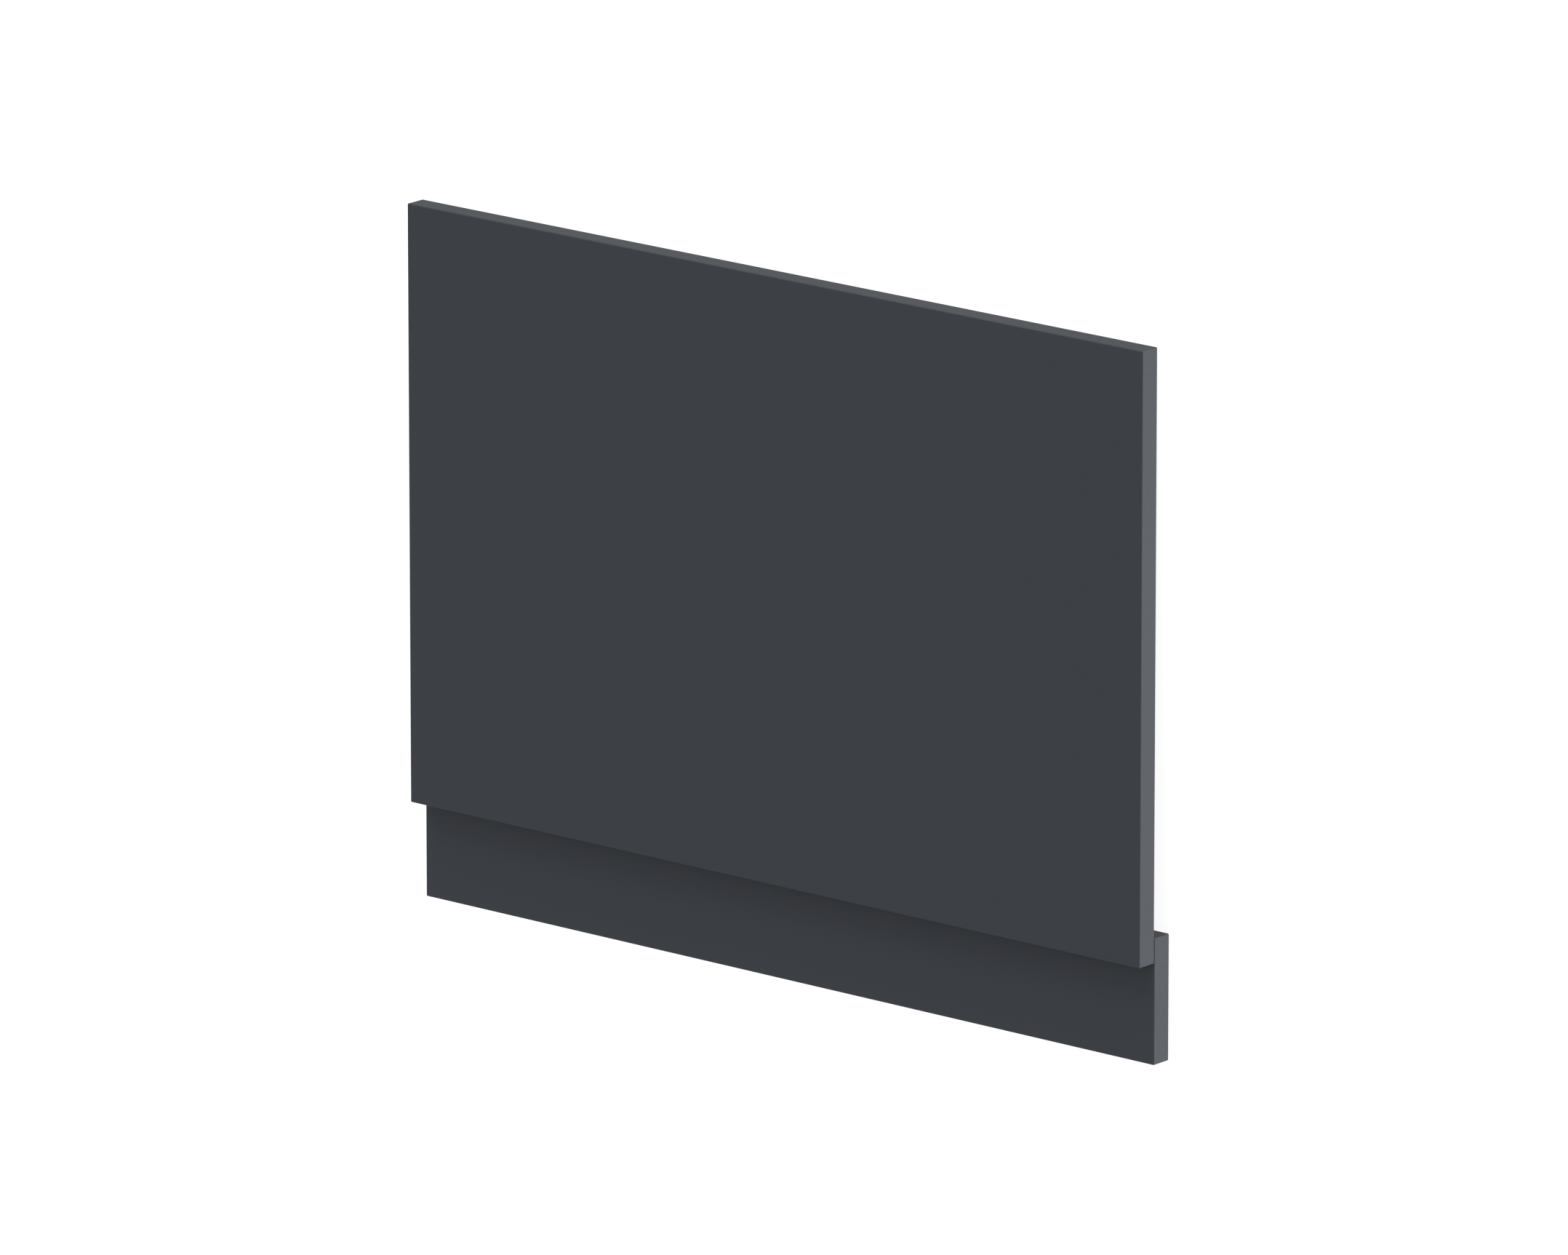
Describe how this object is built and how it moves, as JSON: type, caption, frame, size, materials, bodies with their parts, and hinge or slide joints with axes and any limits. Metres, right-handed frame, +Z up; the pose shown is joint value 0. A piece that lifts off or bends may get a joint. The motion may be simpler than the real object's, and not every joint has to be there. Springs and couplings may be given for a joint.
{
  "type": "bath end panel",
  "caption": "Flat rectangular panel that closes the end of a built-in bath below its rim, with a lower plinth board of the same width set behind its foot.",
  "frame": {"origin": "middle of the footprint, on the floor that the part lies on", "axes": "+X across the panel, to the right as seen from its face; +Y towards the panel's top edge; +Z up. The face looks up and leans 2.24 degrees towards +Y, as the part lies on its back with the plinth under one end"},
  "size_m": [0.73, 0.561, 0.0367],
  "materials": {
    "satin_anthracite": "satin"
  },
  "bodies": {
    "root": {"panel_board": "satin_anthracite", "plinth_board": "satin_anthracite"}
  },
  "joints": []
}
